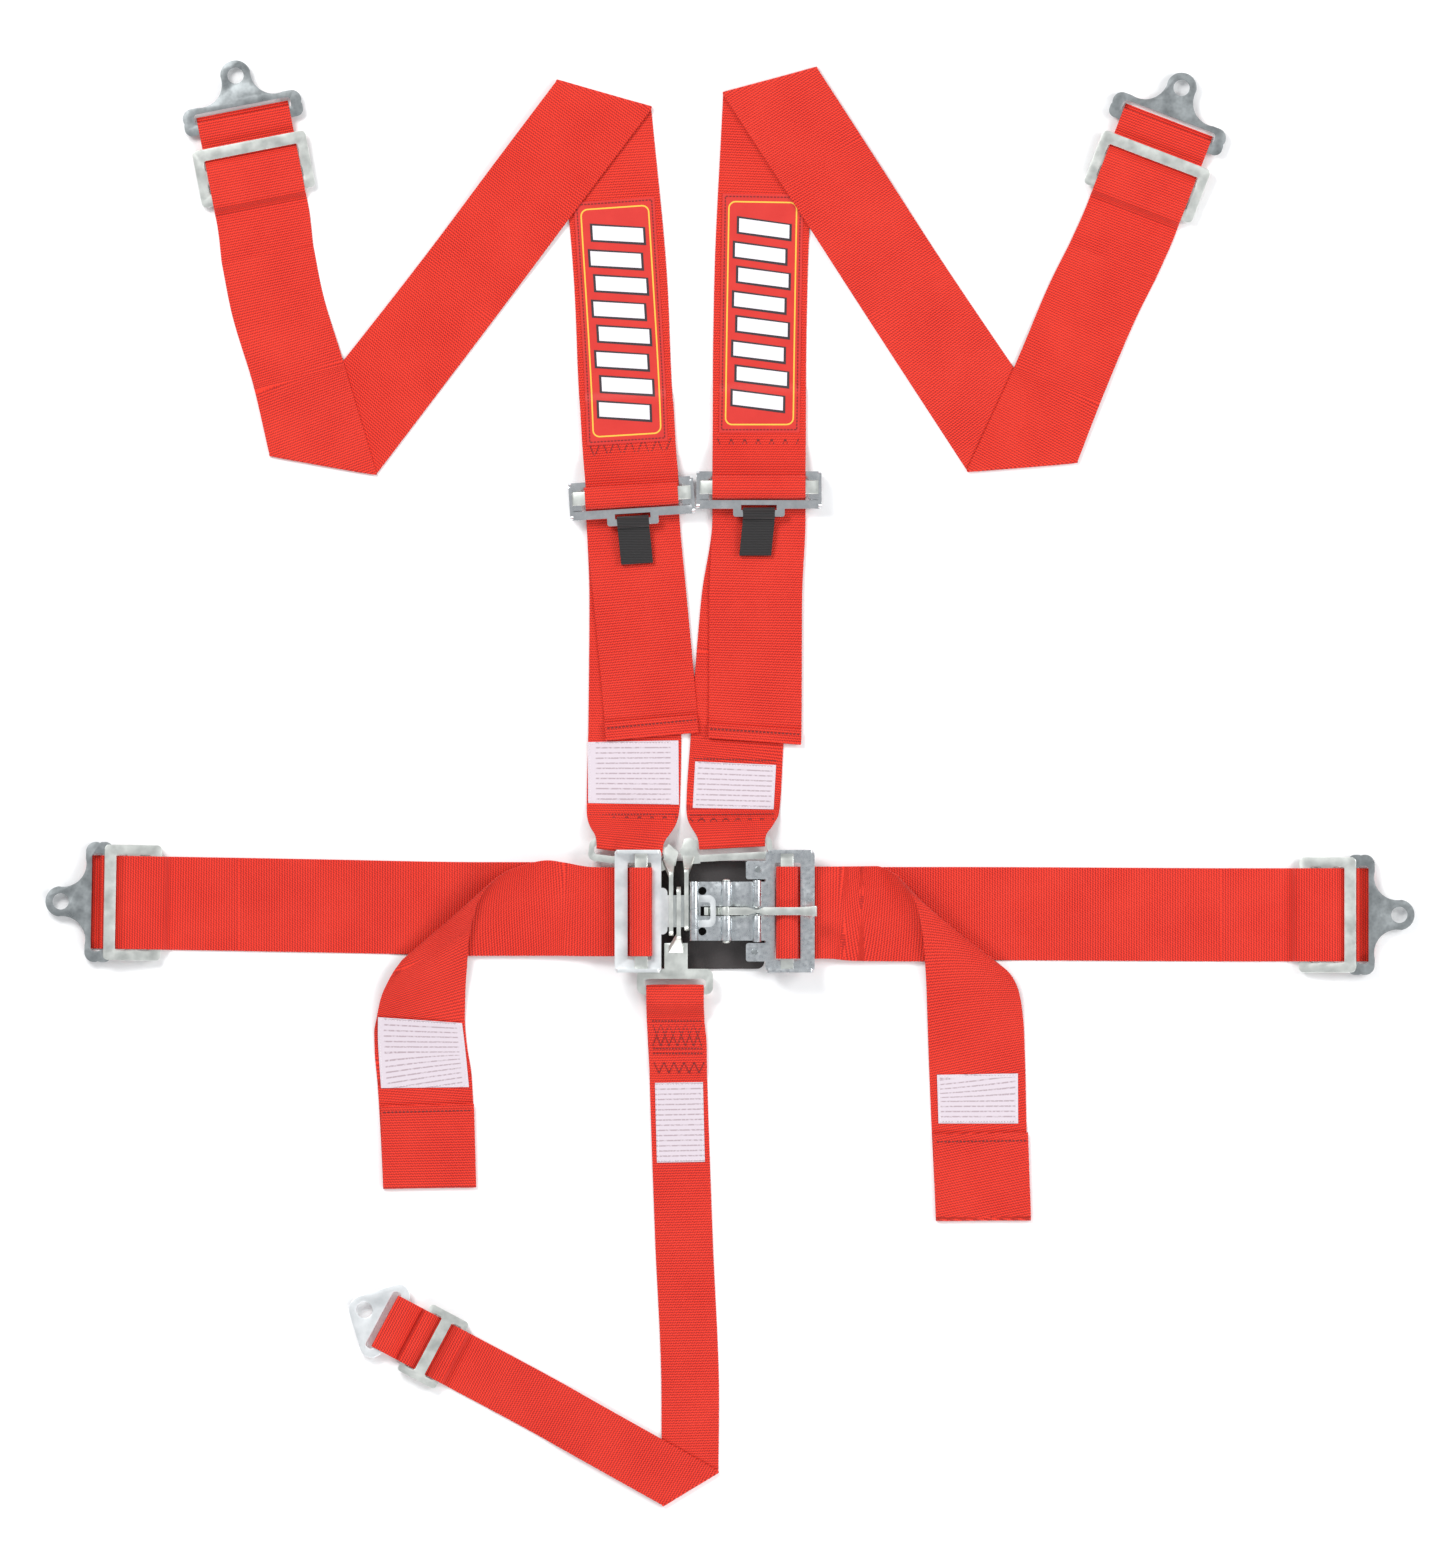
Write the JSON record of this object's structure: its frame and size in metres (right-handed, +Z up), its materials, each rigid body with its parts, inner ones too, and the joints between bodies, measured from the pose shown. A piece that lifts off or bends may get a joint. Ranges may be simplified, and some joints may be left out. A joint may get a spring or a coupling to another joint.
{
  "type": "racing harness",
  "caption": "Latch and link racing harness laid flat: lap, shoulder and sub straps with bolt-in anchor plates, slides, shoulder adjusters and a lever buckle.",
  "frame": {"origin": "centre of the laid-out harness on the floor plane under the webbing", "axes": "+Y towards the shoulder anchors, +X towards the right-hand lap anchor as laid out, +Z up from the floor"},
  "size_m": [1.1158, 1.1788, 0.029],
  "materials": {
    "webbing": "satin woven polyester",
    "zinc_plate": "mottled zinc plate",
    "bright_steel": "bright plated",
    "bar_steel": "satin plated",
    "link_steel": "satin nickel plate",
    "latch_steel": "satin nickel plate",
    "pin_steel": "ground steel",
    "spring_steel": "drawn wire",
    "rivet_steel": "dull steel",
    "tab_rubber": "matt",
    "patch_vinyl": "satin",
    "label_cloth": "printed satin tape",
    "pad_leather": "matt grain"
  },
  "bodies": {
    "harness": {"lap_strap_left": "webbing", "lap_strap_right": "webbing", "shoulder_strap_upper_left": "webbing", "shoulder_strap_upper_right": "webbing", "shoulder_strap_lower_left": "webbing", "shoulder_strap_lower_right": "webbing", "sub_strap": "webbing", "adjuster_frame_left": "bright_steel", "adjuster_frame_right": "bright_steel", "shoulder_patch_left": "patch_vinyl", "shoulder_patch_right": "patch_vinyl", "label_shoulder_left": "label_cloth", "label_shoulder_right": "label_cloth", "label_lap_left": "label_cloth", "label_lap_right": "label_cloth", "label_sub": "label_cloth", "bracket_left": "zinc_plate", "bracket_right": "zinc_plate", "bracket_sub": "zinc_plate", "link_plate": "link_steel", "latch_body": "latch_steel", "lever_pin": "pin_steel", "detent_plugs": "pin_steel", "buckle_pad": "pad_leather", "pad_rivets": "rivet_steel"},
    "lever": {"latch_lever": "bar_steel"},
    "ball_upper": {"detent_ball_upper": "pin_steel", "detent_spring_upper": "spring_steel"},
    "ball_lower": {"detent_ball_lower": "pin_steel", "detent_spring_lower": "spring_steel"},
    "lap_left_anchor": {"lap_anchor_left": "zinc_plate", "lap_slide_left": "zinc_plate", "lap_strap_end_left": "webbing"},
    "lap_right_anchor": {"lap_anchor_right": "zinc_plate", "lap_slide_right": "zinc_plate", "lap_strap_end_right": "webbing"},
    "shoulder_left_anchor": {"shoulder_anchor_left": "zinc_plate", "shoulder_slide_left": "zinc_plate", "shoulder_strap_end_left": "webbing"},
    "shoulder_right_anchor": {"shoulder_anchor_right": "zinc_plate", "shoulder_slide_right": "zinc_plate", "shoulder_strap_end_right": "webbing"},
    "sub_anchor": {"sub_anchor": "zinc_plate", "sub_slide": "zinc_plate", "sub_strap_end": "webbing"},
    "tab_left": {"pull_tab_left": "tab_rubber"},
    "adjuster_bar_left": {"adjuster_bar_left": "bar_steel"},
    "tab_right": {"pull_tab_right": "tab_rubber"},
    "adjuster_bar_right": {"adjuster_bar_right": "bar_steel"},
    "link_bar": {"link_bar": "bar_steel"},
    "latch_bar": {"latch_bar": "bar_steel"}
  },
  "joints": [
    {"name": "lap_left_bend", "type": "hinge", "parent": "harness", "child": "lap_left_anchor", "pos_m": [-0.44951, -0.09767, 0.0008], "axis": [0.0175, 0.9998, 0], "range_deg": [0, 75]},
    {"name": "lap_right_bend", "type": "hinge", "parent": "harness", "child": "lap_right_anchor", "pos_m": [0.4495, -0.107, 0.0008], "axis": [0, -1, 0], "range_deg": [0, 75]},
    {"name": "shoulder_left_bend", "type": "hinge", "parent": "harness", "child": "shoulder_left_anchor", "pos_m": [-0.38163, 0.46706, 0.0008], "axis": [0.9816, 0.1908, 0], "range_deg": [0, 75]},
    {"name": "shoulder_right_bend", "type": "hinge", "parent": "harness", "child": "shoulder_right_anchor", "pos_m": [0.32786, 0.46244, 0.0008], "axis": [0.9336, -0.3584, 0], "range_deg": [0, 75]},
    {"name": "sub_bend", "type": "hinge", "parent": "harness", "child": "sub_anchor", "pos_m": [-0.21324, -0.47407, 0.0008], "axis": [0.4695, 0.8829, 0], "range_deg": [0, 75]},
    {"name": "lever_swing", "type": "hinge", "parent": "harness", "child": "lever", "pos_m": [-0.003, -0.104, 0.021], "axis": [0, -1, 0], "range_deg": [0, 60]},
    {"name": "detent_upper", "type": "slide", "parent": "harness", "child": "ball_upper", "axis": [0, 1, 0], "range_m": [0, 0.0015], "stiffness_N_per_m": 400},
    {"name": "detent_lower", "type": "slide", "parent": "harness", "child": "ball_lower", "axis": [0, -1, 0], "range_m": [0, 0.0015], "stiffness_N_per_m": 400},
    {"name": "pull_tab_left_swing", "type": "hinge", "parent": "harness", "child": "tab_left", "pos_m": [-0.079, 0.21344, 0.00965], "axis": [-0.9981, -0.061, 0], "range_deg": [0, 100]},
    {"name": "adjuster_bar_left_slide", "type": "slide", "parent": "harness", "child": "adjuster_bar_left", "axis": [0.061, -0.9981, 0], "range_m": [0, 0.001]},
    {"name": "pull_tab_right_swing", "type": "hinge", "parent": "harness", "child": "tab_right", "pos_m": [0.0236, 0.2202, 0.00965], "axis": [-1, 0, 0], "range_deg": [0, 100]},
    {"name": "adjuster_bar_right_slide", "type": "slide", "parent": "harness", "child": "adjuster_bar_right", "axis": [0, -1, 0], "range_m": [0, 0.001]},
    {"name": "link_bar_slide", "type": "slide", "parent": "harness", "child": "link_bar", "axis": [1, 0, 0], "range_m": [0, 0.001]},
    {"name": "latch_bar_slide", "type": "slide", "parent": "harness", "child": "latch_bar", "axis": [-1, 0, 0], "range_m": [0, 0.001]}
  ]
}
